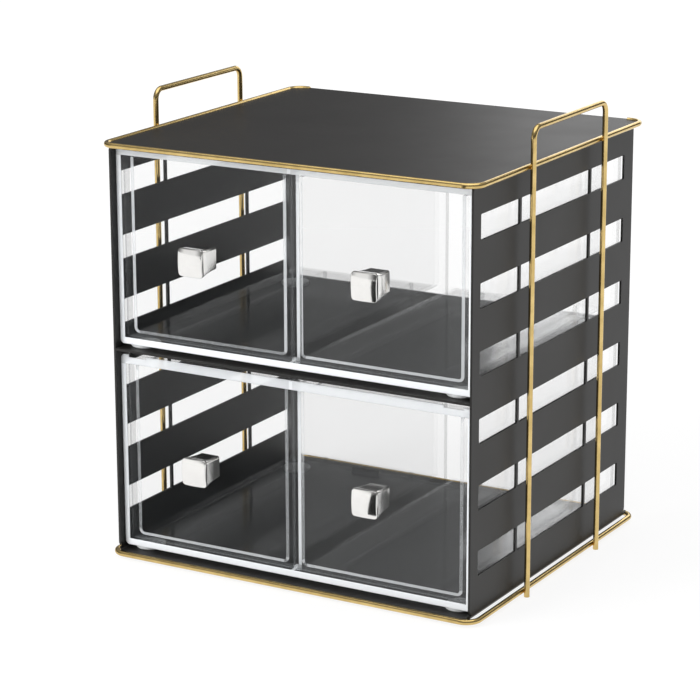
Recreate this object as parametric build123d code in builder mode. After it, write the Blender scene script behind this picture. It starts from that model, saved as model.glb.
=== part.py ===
from build123d import *
import os

# A countertop bread bin: a slotted black sheet-steel cabinet welded into a gold wire frame.
# Two clear cases stand in it, one above the other, and each holds two clear drawers.
# X is to the right, Y to the back and Z up, in millimetres. Z = 0 is the worktop.

# ---- driving dimensions ------------------------------------------------------------------
# wire frame
wire = 5.0  # diameter of the gold wire
ring_width = 370.0  # rings, between centre lines
ring_depth = 330.0
ring_bend = 13.0  # corner radius on the centre line
ring_tail = 3.0  # straight end of the upper ring past each rear bend
low_ring_z = 5.0  # centre lines of the two rings
high_ring_z = 382.0
handle_rise = 33.5  # handle's rail above the upper ring
handle_spread = 142.0  # between the two legs of a handle
handle_bend = 9.0
weld_set = 0.4  # how far a leg is let into a ring where the wires are welded

# sheet-steel cabinet; distances in front of and behind are from the middle of the rings
sheet = 2.0
sheet_bend = 2.0  # inside radius of every fold
top_sheet = 1.5
cabinet_width = 360.0  # over the side panels
panel_front = 160.5
panel_rear = 154.5
panel_corner = 5.0
base_fold = 4.5  # height of the base's turned-up sides, over its underside
shelf_z = 197.0  # upper face of the middle shelf

# slots of the side panels
slot_rows = 6
slot_pitch = 58.4
slot_height = 22.0
top_slot_z = 355.8  # upper edge of the highest row
slot_front = 147.0
slot_rear = 135.5
web = 3.3  # upright bars that the slots leave
front_web = 74.0
rear_web = 64.0
slot_corner = 1.0

# stop tabs, bent up from the base and the shelf behind each case
tab_width = 30.0
tab_height = 8.0
tab_spread = 180.0
tab_gap = 0.5

# clear cases
case_width = 355.0
case_height = 180.0
case_front = 153.5
case_rear = 134.0
case_corner = 4.0
case_wall = 3.0
rim_side = 5.0
rim_foot = 6.0
rim_head = 8.5
rim_round = 0.6
divider_setback = 14.0  # divider's front edge, behind the rim's face
ledge = 2.5  # step that the closed drawer fronts stop against
ledge_depth = 4.0
runner_width = 4.0
runner_spread = 96.0  # between the two runners of a bay

# case feet and the dishes that let a second case stack on the first
foot_radius = 13.5
foot_height = 3.5
foot_round = 2.0
foot_inset_x = 18.0
foot_inset_y = 14.5
dish_radius = 16.5
dish_depth = 2.2
dish_backing = 2.0

# drawers
front_recess = 3.0  # drawer front behind the case's rim
front_sheet = 3.0
front_gap = 0.5
front_corner = 1.5
front_round = 0.4
tray_gap = 6.5  # at each side of the tray
tray_wall = 3.0
tray_floor = 2.5
tray_corner = 5.5
tray_drop = 2.0  # tray's edge below the bay's ceiling
tray_lift = 3.8  # tray's underside above the bay's sill
tray_rear_gap = 4.0
tray_round = 0.8  # polished upper edge
running_gap = 0.3

# knobs, screws and washers
knob_length = 28.0
knob_face = 25.0
face_corner = 3.0
crown_radius = 62.0  # pillowed face
face_round = 0.8
knob_stations = ((0.0, 20.0, 2.0), (12.0, 21.4, 2.3), (24.0, 25.0, 3.0))  # reach, side, corner
screw_radius = 2.0
screw_reach = 9.0  # thread inside the knob
screw_head_radius = 4.0
screw_head = 2.6
screw_dome = 1.1
washer_radius = 6.0
washer_sheet = 1.0
screw_clearance = 0.2

# ---- worked out --------------------------------------------------------------------------
wire_radius = wire / 2
ring_half_width = ring_width / 2
ring_half_depth = ring_depth / 2
inner_width = ring_width - wire
inner_depth = ring_depth - wire
inner_corner = ring_bend - wire_radius
leg_x = ring_half_width + wire - weld_set
leg_y = handle_spread / 2
rail_z = high_ring_z + handle_rise
tail_x = ring_half_width - ring_bend - ring_tail
base_z = low_ring_z + sheet
roof_z = high_ring_z - top_sheet / 2  # underside of the top panel
panel_x = cabinet_width / 2 - sheet
panel_foot_z = base_z - sheet + base_fold
fold_radius = sheet_bend + sheet / 2  # to the middle of the sheet

plate_y = -case_front + front_recess  # outer face of the drawer fronts
knob_reach = knob_length - plate_y
# The knobs stand out further than the frame does at the back, so the middle of the rings
# is moved back until Y = 0 is half-way between the two.
middle_y = (knob_reach - ring_half_depth - wire_radius) / 2

case_depth = case_front + case_rear
bay_width = case_width / 2 - rim_side
bay_height = case_height - rim_foot - rim_head
bay_x = bay_width / 2
plate_back_y = plate_y + front_sheet
ledge_y = plate_back_y + running_gap
cavity_y = ledge_y + ledge_depth
divider_y = divider_setback - case_front
tray_width = bay_width - 2 * tray_gap
tray_height = bay_height - tray_lift - tray_drop
tray_rear_y = case_rear - tray_rear_gap
runner_top = rim_foot + tray_lift - running_gap
foot_x = case_width / 2 - foot_inset_x
foot_y = (case_depth - 2 * foot_inset_y) / 2
case_middle_y = (case_rear - case_front) / 2

sides = {"left": -1, "right": 1}
tiers = {"lower": base_z, "upper": shelf_z}

os.makedirs("parts", exist_ok=True)


def level(z):
    """Horizontal plane at height z, centred under the rings."""
    return Plane((0, middle_y, z))


def facing(y, x=0.0, z=0.0):
    """Upright plane that looks to the front, y behind the middle of the rings."""
    return Plane((x, middle_y + y, z), x_dir=(1, 0, 0), z_dir=(0, -1, 0))


def sideways(x):
    """Upright plane that looks to the right, with Y to its right and Z up."""
    return Plane((x, middle_y, 0), x_dir=(0, 1, 0), z_dir=(1, 0, 0))


# ---- wire frame --------------------------------------------------------------------------
# The lower ring is a closed wire. The upper one ends behind its rear bends, where the top
# panel takes over. Both are notched where the four legs are welded into them.
ring_corners = (
    (-ring_half_width, ring_half_depth),
    (-ring_half_width, -ring_half_depth),
    (ring_half_width, -ring_half_depth),
    (ring_half_width, ring_half_depth),
)
ring_runs = {
    "bottom_ring": (low_ring_z, ring_corners, True),
    "top_ring": (
        high_ring_z,
        ((-tail_x, ring_half_depth), *ring_corners, (tail_x, ring_half_depth)),
        False,
    ),
}
for name, (z, spots, closed) in ring_runs.items():
    with BuildPart() as ring:
        with BuildLine(level(z)) as run:
            FilletPolyline(*spots, radius=ring_bend, close=closed)
        with BuildSketch(Plane(run.line @ 0, z_dir=run.line % 0)):
            Circle(wire_radius)
        sweep()
        with BuildSketch(level(z)):
            with GridLocations(2 * leg_x, 2 * leg_y, 2, 2):
                Circle(wire_radius)
        extrude(amount=wire, both=True, mode=Mode.SUBTRACT)
    ring.part.label = name
    export_step(ring.part, f"parts/{name}.step")

# Each handle is one wire bent into a tall hoop. Its cut ends are the feet of the bin.
for side, sign in sides.items():
    with BuildPart() as handle:
        with BuildLine(sideways(sign * leg_x)) as run:
            FilletPolyline(
                (-leg_y, 0),
                (-leg_y, rail_z),
                (leg_y, rail_z),
                (leg_y, 0),
                radius=handle_bend,
            )
        with BuildSketch(Plane(run.line @ 0, z_dir=run.line % 0)):
            Circle(wire_radius)
        sweep()
    handle.part.label = f"{side}_handle"
    export_step(handle.part, f"parts/{side}_handle.step")

# ---- sheet-steel cabinet -----------------------------------------------------------------
# The top panel nests in the upper ring. At the back it fills the space between the ring's ends.
with BuildPart() as top_panel:
    with BuildSketch(level(roof_z)):
        RectangleRounded(inner_width, inner_depth, inner_corner)
        Rectangle(2 * tail_x, ring_half_depth + wire_radius, align=(Align.CENTER, Align.MIN))
    extrude(amount=top_sheet)
top_panel.part.label = "top_panel"
export_step(top_panel.part, "parts/top_panel.step")

# Each side panel stands on the turned-up side of the base and has rows of three slots.
slot_runs = (
    (-slot_front, -front_web - web / 2),
    (-front_web + web / 2, rear_web - web / 2),
    (rear_web + web / 2, slot_rear),
)
for side, sign in sides.items():
    with BuildPart() as side_panel:
        with BuildSketch(sideways(sign * panel_x)):
            with Locations(((panel_rear - panel_front) / 2, (panel_foot_z + roof_z) / 2)):
                RectangleRounded(panel_front + panel_rear, roof_z - panel_foot_z, panel_corner)
            for row in range(slot_rows):
                row_z = top_slot_z - slot_height / 2 - row * slot_pitch
                for start, end in slot_runs:
                    with Locations(((start + end) / 2, row_z)):
                        RectangleRounded(end - start, slot_height, slot_corner, mode=Mode.SUBTRACT)
        extrude(amount=sign * sheet)
    side_panel.part.label = f"{side}_side_panel"
    export_step(side_panel.part, f"parts/{side}_side_panel.step")

# The base is turned up at both sides and its corners clear the bends of the lower ring. The
# shelf is flat. Behind each case, two tabs are cut in them and bent up, so that a pushed drawer
# can't drive its case out at the back.
tab_y = case_rear + tab_gap
tab_spots = ((-tab_spread / 2, tab_y), (tab_spread / 2, tab_y))
for name, z in {"base_panel": base_z, "middle_shelf": shelf_z}.items():
    with BuildPart() as floor_panel:
        if name == "base_panel":
            with BuildSketch(facing(-ring_half_depth)):
                with BuildLine() as profile:
                    FilletPolyline(
                        (-panel_x - sheet / 2, panel_foot_z),
                        (-panel_x - sheet / 2, z - sheet / 2),
                        (panel_x + sheet / 2, z - sheet / 2),
                        (panel_x + sheet / 2, panel_foot_z),
                        radius=fold_radius,
                    )
                trace(profile.line, line_width=sheet)
            extrude(amount=-ring_depth)
            with BuildSketch(level(z - sheet)):
                RectangleRounded(inner_width, inner_depth, inner_corner)
            extrude(amount=base_fold, mode=Mode.INTERSECT)
        else:
            with BuildSketch(level(z)):
                with Locations((0, (panel_rear - panel_front) / 2)):
                    Rectangle(2 * panel_x, panel_front + panel_rear)
            extrude(amount=-sheet)
        # windows that the metal of the tabs leaves
        with BuildSketch(level(z)):
            with Locations(*tab_spots):
                Rectangle(tab_width, tab_height, align=(Align.CENTER, Align.MIN))
        extrude(amount=-sheet, mode=Mode.SUBTRACT)
        for x, y in tab_spots:
            with BuildSketch(sideways(x)):
                with BuildLine() as bend:
                    FilletPolyline(
                        (y - sheet_bend - sheet, z - sheet / 2),
                        (y + sheet / 2, z - sheet / 2),
                        (y + sheet / 2, z + tab_height),
                        radius=fold_radius,
                    )
                trace(bend.line, line_width=sheet)
            extrude(amount=tab_width / 2, both=True)
    floor_panel.part.label = name
    export_step(floor_panel.part, f"parts/{name}.step")

# ---- clear cases -------------------------------------------------------------------------
# Each case is one moulding, open at the back. Its thick rim goes round both bays, and the
# divider between them is set back, so that the two drawer fronts meet in front of it.
for tier, floor_z in tiers.items():
    case_z = floor_z + foot_height
    middle_z = case_z + case_height / 2
    with BuildPart() as case:
        with BuildSketch(facing(-case_front)):
            with Locations((0, middle_z)):
                RectangleRounded(case_width, case_height, case_corner)
        extrude(amount=-case_depth)
        # one opening for both drawer fronts
        with BuildSketch(facing(-case_front)):
            with Locations((0, case_z + rim_foot)):
                Rectangle(2 * bay_width, bay_height, align=(Align.CENTER, Align.MIN))
        extrude(amount=-(ledge_y + case_front), mode=Mode.SUBTRACT)
        # the step that stops the closed fronts: a narrower opening behind them
        with BuildSketch(facing(ledge_y)):
            with Locations((0, case_z + rim_foot + ledge)):
                Rectangle(2 * (bay_width - ledge), bay_height - ledge, align=(Align.CENTER, Align.MIN))
        extrude(amount=-ledge_depth, mode=Mode.SUBTRACT)
        # thin walls from there to the back, and the divider from a little further in
        with BuildSketch(facing(cavity_y)):
            with Locations((0, middle_z)):
                Rectangle(case_width - 2 * case_wall, case_height - 2 * case_wall)
        extrude(amount=-(divider_y - cavity_y), mode=Mode.SUBTRACT)
        with BuildSketch(facing(divider_y)):
            with Locations((0, middle_z)):
                Rectangle(case_width - 2 * case_wall, case_height - 2 * case_wall)
                Rectangle(case_wall, case_height, mode=Mode.SUBTRACT)
        extrude(amount=-(case_rear - divider_y), mode=Mode.SUBTRACT)
        # two runners on the floor of each bay carry the tray
        with BuildSketch(facing(cavity_y)):
            with Locations((-bay_x, case_z + case_wall), (bay_x, case_z + case_wall)):
                with GridLocations(runner_spread, 0, 2, 1):
                    Rectangle(runner_width, runner_top - case_wall, align=(Align.CENTER, Align.MIN))
        extrude(amount=-(case_rear - cavity_y))
        # dishes in the roof, backed by round pads
        with BuildSketch(level(case_z + case_height - case_wall)):
            with Locations((0, case_middle_y)):
                with GridLocations(2 * foot_x, 2 * foot_y, 2, 2):
                    Circle(dish_radius)
            with Locations((0, case_middle_y)):
                Rectangle(case_width, case_depth, mode=Mode.INTERSECT)
        extrude(amount=-dish_backing)
        with BuildSketch(level(case_z + case_height)):
            with Locations((0, case_middle_y)):
                with GridLocations(2 * foot_x, 2 * foot_y, 2, 2):
                    Circle(dish_radius)
        extrude(amount=-dish_depth, mode=Mode.SUBTRACT)
        fillet(case.faces().sort_by(Axis.Y)[0].edges(), rim_round)
    case.part.label = f"{tier}_case"
    export_step(case.part, f"parts/{tier}_case.step")

    with BuildPart() as case_feet:
        with BuildSketch(level(case_z)):
            with Locations((0, case_middle_y)):
                with GridLocations(2 * foot_x, 2 * foot_y, 2, 2):
                    Circle(foot_radius)
        extrude(amount=-foot_height)
        fillet(case_feet.edges().group_by(Axis.Z)[0], foot_round)
    case_feet.part.label = f"{tier}_case_feet"
    export_step(case_feet.part, f"parts/{tier}_case_feet.step")

# ---- drawers -----------------------------------------------------------------------------
for tier, floor_z in tiers.items():
    for side, sign in sides.items():
        drawer = f"{tier}_{side}"
        x = sign * bay_x
        sill_z = floor_z + foot_height + rim_foot
        knob_z = sill_z + bay_height / 2
        tray_z = sill_z + tray_lift

        # flat front, a little smaller than its bay all round, drilled for the knob's screw
        with BuildPart() as drawer_front:
            with BuildSketch(facing(plate_y, x, knob_z)):
                RectangleRounded(bay_width - 2 * front_gap, bay_height - 2 * front_gap, front_corner)
                Circle(screw_radius + screw_clearance, mode=Mode.SUBTRACT)
            extrude(amount=-front_sheet)
            rim = drawer_front.faces().sort_by(Axis.Y)[0].outer_wire()
            fillet(rim.edges(), front_round)
        drawer_front.part.label = f"{drawer}_drawer_front"
        export_step(drawer_front.part, f"parts/{drawer}_drawer_front.step")

        # tray bonded behind the front: round lower corners, open top, closed back
        with BuildPart() as tray:
            with BuildSketch(facing(plate_back_y, x, tray_z)) as outside:
                Rectangle(tray_width, tray_height, align=(Align.CENTER, Align.MIN))
                fillet(outside.vertices().group_by(Axis.Y)[0], tray_corner)
            extrude(amount=-(tray_rear_y - plate_back_y))
            with BuildSketch(facing(plate_back_y, x, tray_z + tray_floor)) as inside:
                Rectangle(tray_width - 2 * tray_wall, tray_height, align=(Align.CENTER, Align.MIN))
                fillet(inside.vertices().group_by(Axis.Y)[0], tray_corner - tray_wall)
            extrude(amount=-(tray_rear_y - plate_back_y - tray_wall), mode=Mode.SUBTRACT)
            lip = tray.faces().sort_by(Axis.Z)[-1].edges().sort_by(Axis.Y)
            fillet(lip[2:], tray_round)
        tray.part.label = f"{drawer}_tray"
        export_step(tray.part, f"parts/{drawer}_tray.step")

        # square knob that widens from its foot to a pillowed face, tapped from behind
        with BuildPart() as knob:
            for reach, size, corner in knob_stations:
                with BuildSketch(facing(plate_y - reach, x, knob_z)):
                    RectangleRounded(size, size, corner)
            loft()
            with BuildSketch(facing(plate_y - reach, x, knob_z)):
                RectangleRounded(knob_face, knob_face, face_corner)
            extrude(amount=knob_length - reach)
            with Locations((x, middle_y + plate_y - knob_length + crown_radius, knob_z)):
                Sphere(crown_radius, mode=Mode.INTERSECT)
            fillet(knob.faces().sort_by(Axis.Y)[0].edges(), face_round)
            with Locations(Plane((x, middle_y + plate_y, knob_z), z_dir=(0, 1, 0))):
                Hole(screw_radius, screw_reach)
        knob.part.label = f"{drawer}_knob"
        export_step(knob.part, f"parts/{drawer}_knob.step")

        # washer and dome-headed screw inside the tray
        with BuildPart() as washer:
            with BuildSketch(facing(plate_back_y, x, knob_z)):
                Circle(washer_radius)
                Circle(screw_radius + screw_clearance, mode=Mode.SUBTRACT)
            extrude(amount=-washer_sheet)
        washer.part.label = f"{drawer}_knob_washer"
        export_step(washer.part, f"parts/{drawer}_knob_washer.step")

        with BuildPart() as screw:
            with BuildSketch(facing(plate_y - screw_reach, x, knob_z)):
                Circle(screw_radius)
            extrude(amount=-(screw_reach + front_sheet + washer_sheet))
            with BuildSketch(facing(plate_back_y + washer_sheet, x, knob_z)):
                Circle(screw_head_radius)
            extrude(amount=-screw_head)
            fillet(screw.edges().group_by(Axis.Y)[-1], screw_dome)
        screw.part.label = f"{drawer}_knob_screw"
        export_step(screw.part, f"parts/{drawer}_knob_screw.step")
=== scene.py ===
import math

import bpy
from mathutils import Matrix, Vector


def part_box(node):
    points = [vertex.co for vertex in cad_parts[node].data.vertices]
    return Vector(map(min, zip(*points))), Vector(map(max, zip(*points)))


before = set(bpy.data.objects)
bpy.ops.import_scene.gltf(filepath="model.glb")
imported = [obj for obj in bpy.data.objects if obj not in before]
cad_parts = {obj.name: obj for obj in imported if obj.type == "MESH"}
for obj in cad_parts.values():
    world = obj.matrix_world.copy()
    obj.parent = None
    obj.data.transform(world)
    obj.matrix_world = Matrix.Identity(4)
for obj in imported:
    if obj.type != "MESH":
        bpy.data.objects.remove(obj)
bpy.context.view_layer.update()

# ---- the gold wire frame ---------------------------------------------------------------
# Two rings and two tall hoops of 5 mm steel wire, welded where they cross and then plated in
# satin gold. The hoops are the handles, and their cut ends are the four feet of the bin.


class Feed:
    """One output of a shader node. Sums, products and differences of feeds add Math nodes."""

    def __init__(self, tree, socket=None):
        self.tree = tree
        self.socket = socket

    def node(self, kind, inputs, output=0, **settings):
        """Adds a node: first its settings, then a value or a feed for each of its sockets."""
        made = self.tree.nodes.new("ShaderNode" + kind)
        for name, value in settings.items():
            setattr(made, name, value)
        for name, value in inputs.items():
            if isinstance(value, Feed):
                self.tree.links.new(value.socket, made.inputs[name])
            else:
                made.inputs[name].default_value = value
        return Feed(self.tree, made.outputs[output] if made.outputs else None)

    def __add__(self, other):
        return self.node("Math", {0: self, 1: other}, operation="ADD")

    def __sub__(self, other):
        return self.node("Math", {0: self, 1: other}, operation="SUBTRACT")

    def __rsub__(self, other):
        return self.node("Math", {0: other, 1: self}, operation="SUBTRACT")

    def __mul__(self, other):
        return self.node("Math", {0: self, 1: other}, operation="MULTIPLY")

    __radd__ = __add__
    __rmul__ = __mul__


def start_finish(name):
    """A new material, and the place on the piece, in metres, that its patterns follow."""
    finish = bpy.data.materials.new(name)
    finish.use_nodes = True
    finish.node_tree.nodes.clear()
    return finish, Feed(finish.node_tree).node("TexCoord", {}, output="Object")


def noise(place, size, detail=2.0):
    """Soft random mottling from 0 to 1, whose patches are about size metres across."""
    return place.node("TexNoise", {"Vector": place, "Scale": 1 / size, "Detail": detail})


def bumps(height, strength, depth):
    """The surface's slope where the height feed lifts it by up to depth, in metres."""
    return height.node("Bump", {"Height": height, "Strength": strength, "Distance": depth})


def blend_colours(share, first, second):
    """From the first colour, where share is 0, to the second, where it is 1."""
    return share.node(
        "Mix", {0: share, 6: (*first, 1), 7: (*second, 1)}, output=2, data_type="RGBA"
    )


def spread(share, least, most):
    """From the least value, where share is 0, to the most, where it is 1."""
    return share * (most - least) + least


def show_finish(shader, finish, *nodes):
    """Ends a material with its shader and puts it on the pieces of those names."""
    shader.node("OutputMaterial", {"Surface": shader})
    for node in nodes:
        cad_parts[node].data.materials[0] = finish


gold_light = (0.86, 0.65, 0.29)
gold_deep = (0.46, 0.32, 0.11)
grain_dulls = 0.04  # roughness that the grain adds to the tarnish's
gold_finish, on_wire = start_finish("satin_gold_plate")
tarnish = noise(on_wire, size=0.012, detail=4)
grain = noise(on_wire, size=0.0005)
gold_shader = on_wire.node(
    "BsdfPrincipled",
    {
        "Base Color": blend_colours(tarnish, gold_light, gold_deep),
        "Metallic": 1.0,
        "Roughness": spread(tarnish, least=0.12, most=0.22) + grain * grain_dulls,
        "Normal": bumps(grain, strength=0.02, depth=0.0001),
    },
)
wires = ("bottom_ring", "top_ring", "left_handle", "right_handle")
show_finish(gold_shader, gold_finish, *wires)

# ---- the black cabinet -----------------------------------------------------------------
# Laser-cut sheet steel: a base, two slotted sides, a middle shelf and a top, welded together
# and powder-coated in satin black. The baked powder leaves a fine orange-peel skin.

black_full = (0.010, 0.0095, 0.009)
black_handled = (0.018, 0.017, 0.016)
powder_dulls = 0.08  # roughness that the powder's grains add to that of handling
black_steel, on_sheet = start_finish("satin_black_powder_coat")
peel = noise(on_sheet, size=0.0011, detail=1)
powder = noise(on_sheet, size=0.0002)
handling = noise(on_sheet, size=0.05, detail=5)
black_shader = on_sheet.node(
    "BsdfPrincipled",
    {
        "Base Color": blend_colours(handling, black_full, black_handled),
        "Roughness": spread(handling, least=0.36, most=0.46) + powder * powder_dulls,
        "Specular IOR Level": 0.4,
        "Normal": bumps(peel, strength=0.10, depth=0.0002),
    },
)
sheets = ("base_panel", "middle_shelf", "left_side_panel", "right_side_panel", "top_panel")
show_finish(black_shader, black_steel, *sheets)

# ---- the two clear cases ---------------------------------------------------------------
# Each case is one injection moulding in clear polystyrene, open at the back, with a thick
# polished rim and a divider. Its faces are nearly unseen. Its edges are painted pale and
# solid, a painted highlight for the light that polished edges gather.


def along(place, axis):
    """How far the place lies along X, Y or Z, in metres."""
    return place.node("SeparateXYZ", {0: place}, output=axis)


def rise(value, start, end):
    """0 where the value is at start, 1 where it is at end, and no further outside them."""
    return value.node("MapRange", {"Value": value, "From Min": start, "From Max": end})


def larger(first, second):
    """The larger of two feeds, or of a feed and a number."""
    return first.node("Math", {0: first, 1: second}, operation="MAXIMUM")


def size_of(value):
    """The value without its sign."""
    return value.node("Math", {0: value}, operation="ABSOLUTE")


def clear_shader(place, edges):
    """Clear plastic: edges is 0 where it is seen through, and 1 where a painted highlight makes
    it solid and pale.
    """
    clear_body = (0.12, 0.13, 0.135)
    # painted highlight: the pale colours the edges are painted with, standing in for the light
    # they gather
    glow_dull = (0.89, 0.92, 0.95)
    glow_bright = (0.94, 0.965, 0.985)
    mirror_tint = (0.95, 0.96, 0.97)
    slant_start = 0.5  # a face mirrors once it is turned this far away, where 1 is edge on
    slant_gloss = 0.3  # share of the mirror in a face that is seen edge on
    flow = noise(place, size=0.03, detail=1)
    scuff = noise(place, size=0.0009, detail=3)
    cloud = noise(place, size=0.006, detail=3)
    pale = blend_colours(cloud, glow_dull, glow_bright)
    tint = place.node(
        "Mix", {0: edges, 6: (*clear_body, 1), 7: pale}, output=2, data_type="RGBA"
    )
    ripple = bumps(flow, strength=0.08, depth=0.0004)
    seen_through = place.node(
        "BsdfPrincipled",
        {
            "Base Color": tint,
            "Roughness": spread(scuff, least=0.04, most=0.12),
            "IOR": 1.49,
            "Alpha": larger(edges, spread(scuff, least=0.012, most=0.032)),
            "Normal": ripple,
        },
    )
    gloss = place.node(
        "BsdfPrincipled",
        {
            "Base Color": (*mirror_tint, 1),
            "Metallic": 1.0,
            "Roughness": spread(scuff, least=0.05, most=0.15),
            "Normal": ripple,
        },
    )
    facing = place.node("LayerWeight", {"Blend": 0.5}, output="Facing")
    slant = rise(facing, slant_start, 1) * slant_gloss
    return place.node("MixShader", {0: slant, 1: seen_through, 2: gloss})


case_low, case_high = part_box("lower_case")
tier_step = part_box("upper_case")[0].z - case_low.z  # from the lower case up to the upper
case_front = case_low.y
case_rear = case_high.y
fade = 0.0002  # width over which an edge's paleness ends
rim_round = 0.0006  # radius of the rim's edges
rim_depth = 0.0103  # from the rim's face to the rear of the drawer front's stop step
rim_head_height = 0.0085
rim_head_z = case_high.z - rim_head_height  # underside of the rim's upper side, lower case
rim_head_fade = 0.0005
divider_setback = 0.014
divider_front = case_front + divider_setback
divider_half = 0.0018  # just over half of the divider's thickness
# painted highlights: how strongly each edge of the case is painted solid and pale
rim_glow_painted = 0.97  # how solid and pale each edge looks
head_loss = 0.17  # the light reaches the upper side of the rim least
divider_glow_painted = 0.9
sill_glow_painted = 0.16
rear_glow_painted = 0.3


def height_in_tier(place):
    """How high the place lies, as if it were in the lower case or its drawers."""
    return place.node("Math", {0: along(place, "Z"), 1: tier_step}, operation="MODULO")


case_finish, on_case = start_finish("clear_case_moulding")
case_depth = along(on_case, "Y")
case_across = size_of(along(on_case, "X"))
rim_head = rise(height_in_tier(on_case), rim_head_z - rim_head_fade, rim_head_z)
rim_face = rise(case_depth, case_front + rim_round + 2 * fade, case_front + 2 * fade)
in_divider = rise(case_across, divider_half, divider_half - fade / 2)
divider_edge = in_divider * rise(case_depth, divider_front + 2 * fade, divider_front + fade)
sill = rise(case_depth, case_front + rim_depth + 2 * fade, case_front + rim_depth)
rear_edge = rise(case_depth, case_rear - 2 * fade, case_rear - fade)
# painted highlight on the rim's face, with painted shade on its upper side, and on the divider's
# front edge, the sill and the rear edge
painted_rim_glow = rim_face * (rim_glow_painted - rim_head * head_loss)
painted_front_glow = larger(painted_rim_glow, divider_edge * divider_glow_painted)
painted_case_glow = larger(painted_front_glow, larger(sill * sill_glow_painted, rear_edge * rear_glow_painted))
show_finish(clear_shader(on_case, painted_case_glow), case_finish, "lower_case", "upper_case")

# light passes sheet behind sheet of clear plastic
bpy.context.scene.cycles.transparent_max_bounces = 32

# ---- the cases' feet -------------------------------------------------------------------
# Four round bumpers under each case, moulded in clear rubber and stuck on. They are milkier
# than the case, and bloom has dulled them.

rubber_dull = (0.78, 0.81, 0.82)
rubber_pale = (0.88, 0.90, 0.90)
rubber_finish, on_rubber = start_finish("clear_rubber")
bloom = noise(on_rubber, size=0.002, detail=3)
rubber_shader = on_rubber.node(
    "BsdfPrincipled",
    {
        "Base Color": blend_colours(bloom, rubber_dull, rubber_pale),
        "Roughness": spread(bloom, least=0.35, most=0.55),
        "Alpha": spread(bloom, least=0.85, most=0.95),
    },
)
show_finish(rubber_shader, rubber_finish, "lower_case_feet", "upper_case_feet")

# ---- the four drawers ------------------------------------------------------------------
# A clear tray with a flat clear front bonded to its end, both in the plastic of the cases.
# The tray's polished lip and bonded end, and the front's cut edge, are painted pale as a painted
# highlight.

drawers = [f"{tier}_{side}" for tier in ("lower", "upper") for side in ("left", "right")]

tray_low, tray_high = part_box("lower_right_tray")
floor_depth = 0.0026  # just over the thickness of the tray's floor
lip_depth = 0.0005
tray_floor_z = tray_low.z + floor_depth
tray_lip_z = tray_high.z - lip_depth
# painted highlights on the tray's bonded end, its lip and its floor
end_glow_painted = 0.7
lip_glow_painted = 0.5
tray_floor_glow_painted = 0.06
tray_finish, on_tray = start_finish("clear_tray_sheet")
tray_height = height_in_tier(on_tray)
tray_end = rise(along(on_tray, "Y"), tray_low.y + 2 * fade, tray_low.y + fade)
tray_lip = rise(tray_height, tray_lip_z - 2 * fade, tray_lip_z)
tray_floor = rise(tray_height, tray_floor_z + 2 * fade, tray_floor_z)
painted_tray_glow = larger(larger(tray_end * end_glow_painted, tray_lip * lip_glow_painted), tray_floor * tray_floor_glow_painted)
trays = [f"{drawer}_tray" for drawer in drawers]
show_finish(clear_shader(on_tray, painted_tray_glow), tray_finish, *trays)

front_low, front_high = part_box("lower_right_drawer_front")
front_middle = (front_low + front_high) / 2
front_half = (front_high - front_low) / 2
front_round = 0.0004  # radius of the front's edges
# painted highlight on the front's cut edge
cut_edge_glow_painted = 0.35
front_finish, on_front = start_finish("clear_drawer_front_sheet")
past_side = size_of(size_of(along(on_front, "X")) - front_middle.x) - front_half.x
past_top = size_of(height_in_tier(on_front) - front_middle.z) - front_half.z
cut_edge = rise(larger(past_side, past_top), -front_round - fade / 2, -fade / 2)
fronts = [f"{drawer}_drawer_front" for drawer in drawers]
show_finish(clear_shader(on_front, cut_edge * cut_edge_glow_painted), front_finish, *fronts)

# ---- the square knobs ------------------------------------------------------------------
# One knob in the middle of each drawer front, die-cast in zinc with a pillowed face, then
# polished and nickel-plated. Its foot sits on the front, and a screw from behind holds it.

nickel_bright = (0.88, 0.87, 0.85)
nickel_deep = (0.80, 0.79, 0.77)
brushing_dulls = 0.03  # roughness that the brushing adds to the clouding's
nickel, on_knob = start_finish("satin_nickel")
brushing = noise(on_knob, size=0.0006, detail=3)
cloud = noise(on_knob, size=0.008, detail=3)
nickel_shader = on_knob.node(
    "BsdfPrincipled",
    {
        "Base Color": blend_colours(cloud, nickel_bright, nickel_deep),
        "Metallic": 1.0,
        "Roughness": spread(cloud, least=0.05, most=0.10) + brushing * brushing_dulls,
        "Normal": bumps(brushing, strength=0.06, depth=0.0001),
    },
)
show_finish(nickel_shader, nickel, *(f"{drawer}_knob" for drawer in drawers))

# ---- the knobs' screws and washers -----------------------------------------------------
# A dome-headed M4 screw in zinc-plated steel goes through each front into its knob. A milky
# nylon washer under the head keeps the steel off the plastic.

zinc_bright = (0.62, 0.62, 0.61)
zinc_blue = (0.5, 0.5, 0.52)
screw_steel, on_screw = start_finish("zinc_plated_screw")
speck = noise(on_screw, size=0.0008, detail=3)
screw_shader = on_screw.node(
    "BsdfPrincipled",
    {
        "Base Color": blend_colours(speck, zinc_bright, zinc_blue),
        "Metallic": 1.0,
        "Roughness": spread(speck, least=0.25, most=0.40),
    },
)
show_finish(screw_shader, screw_steel, *(f"{drawer}_knob_screw" for drawer in drawers))

nylon_dull = (0.78, 0.78, 0.75)
nylon_pale = (0.86, 0.86, 0.84)
nylon, on_washer = start_finish("milky_nylon")
fog = noise(on_washer, size=0.002, detail=3)
nylon_shader = on_washer.node(
    "BsdfPrincipled",
    {
        "Base Color": blend_colours(fog, nylon_dull, nylon_pale),
        "Roughness": spread(fog, least=0.4, most=0.5),
        "Subsurface Weight": 0.2,
    },
)
show_finish(nylon_shader, nylon, *(f"{drawer}_knob_washer" for drawer in drawers))

# ---- the pale floor --------------------------------------------------------------------
# The bin stands on a wide matt floor. It is white where it is looked at from the camera, in
# metal or through plastic, and close by it still takes a little of the bin's shadow.


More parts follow.
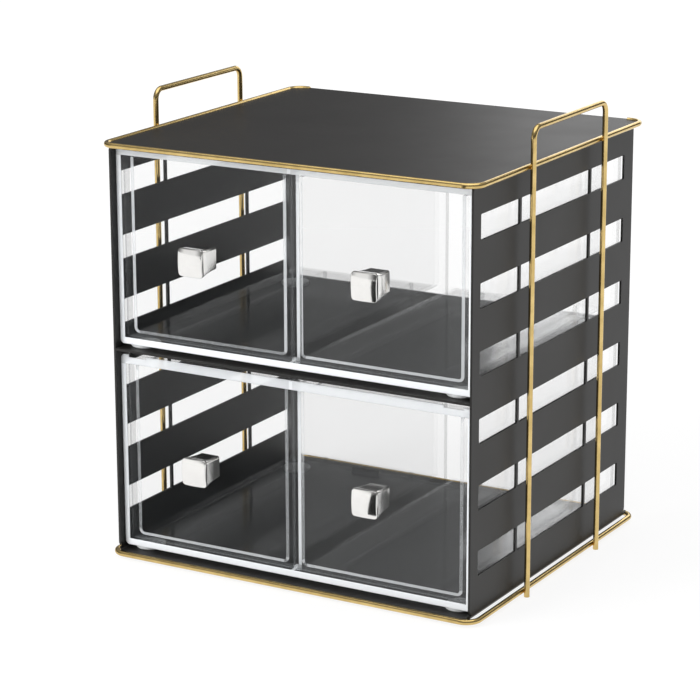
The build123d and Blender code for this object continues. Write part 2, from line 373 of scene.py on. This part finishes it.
def lay_sheet(name, corners, lift, finish):
    """A flat sheet on the floor, or the floor itself, with its corners in metres."""
    mesh = bpy.data.meshes.new(name)
    mesh.from_pydata([(x, y, lift) for x, y in corners], [], [tuple(range(len(corners)))])
    mesh.materials.append(finish)
    sheet = bpy.data.objects.new(name, mesh)
    bpy.context.scene.collection.objects.link(sheet)
    return sheet


floor_reach = 12.0
floor_pale = (0.86, 0.86, 0.86)
floor_worn = (0.84, 0.84, 0.84)
floor_white = 1.08
floor_glow = 0.8  # share of that white close to the bin, where the shadow shows
shadow_reach = 0.5  # the glow grows from here, in metres from the middle of the bin
white_reach = 1.3  # and is full from here on
floor_finish, on_floor = start_finish("pale_floor")
seen = on_floor.node("LightPath", {}, output="Is Camera Ray")
mirrored = on_floor.node("LightPath", {}, output="Is Glossy Ray")
looked_through = on_floor.node("LightPath", {}, output="Is Transmission Ray")
wear = noise(on_floor, size=0.4)
matt = on_floor.node("BsdfDiffuse", {"Color": blend_colours(wear, floor_pale, floor_worn)})
white = on_floor.node("Emission", {"Strength": floor_white})
away = on_floor.node("VectorMath", {0: on_floor}, output="Value", operation="LENGTH")
glow = spread(rise(away, shadow_reach, white_reach), least=floor_glow, most=1)
glow_share = (seen + mirrored + looked_through) * glow
floor_shader = on_floor.node("MixShader", {0: glow_share, 1: matt, 2: white})
show_finish(floor_shader, floor_finish)
floor_corners = (
    (-floor_reach, -floor_reach),
    (floor_reach, -floor_reach),
    (floor_reach, floor_reach),
    (-floor_reach, floor_reach),
)
floor = lay_sheet("pale_floor", floor_corners, lift=0, finish=floor_finish)

# ---- the dark card ---------------------------------------------------------------------
# A long black cloth on the floor in front of the bin, out of the picture. Only polished
# surfaces see it, and it gives the knobs their dark right edges.

cloth_black = (0.02, 0.02, 0.02)
cloth_grey = (0.03, 0.03, 0.03)
card_near = -0.30
near_left = 0.03
near_right = 0.12
card_far = -8.0
far_left = -1.9
far_right = 0.8
card_lift = 0.001
card_finish, on_card = start_finish("dark_card")
weave = noise(on_card, size=0.01)
black_cloth = on_card.node(
    "BsdfDiffuse", {"Color": blend_colours(weave, cloth_black, cloth_grey)}
)
show_finish(black_cloth, card_finish)
card_corners = (
    (near_left, card_near),
    (far_left, card_far),
    (far_right, card_far),
    (near_right, card_near),
)
card = lay_sheet("dark_card", card_corners, lift=card_lift, finish=card_finish)
for ray in ("camera", "diffuse", "transmission", "shadow", "volume_scatter"):
    setattr(card, f"visible_{ray}", False)

# ---- the room --------------------------------------------------------------------------
# A dim dome, brighter overhead, with a soft window at the front and left. Behind the bin it
# is plain white where it is looked at, straight or through plastic.

horizon_light = 0.09
overhead_light = 0.5
window_light = 0.8
window_way = (-0.52, -0.85, 0.02)
window_rim = 0.93  # cosine of the angle from the window's middle to its rim
window_full = 0.98  # and to where it is full
dome_foot = 0.15  # height at which the dome starts to brighten, where 1 is overhead
studio = bpy.data.worlds.new("studio")
studio.use_nodes = True
studio.node_tree.nodes.clear()
bpy.context.scene.world = studio
sky = Feed(studio.node_tree)
outward = sky.node("TexCoord", {}, output="Generated")
overhead = rise(along(outward, "Z"), dome_foot, 1.0)
window_cosine = sky.node(
    "VectorMath", {0: outward, 1: window_way}, output="Value", operation="DOT_PRODUCT"
)
window = rise(window_cosine, window_rim, window_full)
dome = overhead * overhead_light + horizon_light + window * window_light
lit_room = dome.node("Background", {"Color": dome, "Strength": 1.0})
white_room = sky.node("Background", {"Color": (1, 1, 1, 1), "Strength": 1.0})
seen_past = sky.node("LightPath", {}, output="Is Camera Ray")
seen_in_plastic = sky.node("LightPath", {}, output="Is Transmission Ray")
room = sky.node("MixShader", {0: seen_past + seen_in_plastic, 1: lit_room, 2: white_room})
room.node("OutputWorld", {"Surface": room})

# ---- the lamps -------------------------------------------------------------------------
# Three soft boxes: a large one at the front and left, one overhead, and a dim one behind
# that draws the pale sheen on the right of the top panel.

bin_middle = (0, 0, 0.2)


def soft_box(name, place, width, height, power, in_gloss=True):
    """A soft rectangular lamp that looks at the bin from its place and isn't seen itself."""
    lamp = bpy.data.lights.new(name, "AREA")
    lamp.shape = "RECTANGLE"
    lamp.size = width
    lamp.size_y = height
    lamp.energy = power
    box = bpy.data.objects.new(name, lamp)
    box.location = place
    box.rotation_mode = "QUATERNION"
    box.rotation_quaternion = (Vector(place) - Vector(bin_middle)).to_track_quat("Z", "Y")
    box.visible_camera = False
    box.visible_glossy = in_gloss
    bpy.context.scene.collection.objects.link(box)


soft_box("front_box", place=(-1.2, -2.0, 1.1), width=1.4, height=1.7, power=52, in_gloss=False)
soft_box("back_box", place=(-0.05, 1.3, 0.75), width=1.0, height=0.7, power=3.2)
soft_box("top_box", place=(0.2, -0.2, 2.0), width=2.2, height=2.2, power=18)

# ---- the camera ------------------------------------------------------------------------
# It stands where the photograph was taken from, in front and to the right of the bin and a
# little above it, with a long lens.

camera_turn = math.radians(29.99)
camera_rise = math.radians(15.44)
camera_roll = math.radians(0.155)
camera_distance = 2.5086
camera_aim = Vector((-0.0444, 0.0320, 0.1685))
picture_side = 36.0
camera_lens = 138.8

towards_camera = Vector(
    (
        math.sin(camera_turn) * math.cos(camera_rise),
        -math.cos(camera_turn) * math.cos(camera_rise),
        math.sin(camera_rise),
    )
)
rightward = Vector((math.cos(camera_turn), math.sin(camera_turn), 0))
upward = towards_camera.cross(rightward)
camera_data = bpy.data.cameras.new("photo_camera")
camera_data.sensor_width = picture_side
camera_data.lens = camera_lens
camera = bpy.data.objects.new("photo_camera", camera_data)
axes = Matrix((rightward, upward, towards_camera)).transposed()
camera.matrix_world = (
    Matrix.Translation(camera_aim + towards_camera * camera_distance)
    @ axes.to_4x4()
    @ Matrix.Rotation(-camera_roll, 4, "Z")
)
bpy.context.scene.collection.objects.link(camera)
bpy.context.scene.camera = camera
bpy.context.scene.view_settings.view_transform = "Standard"
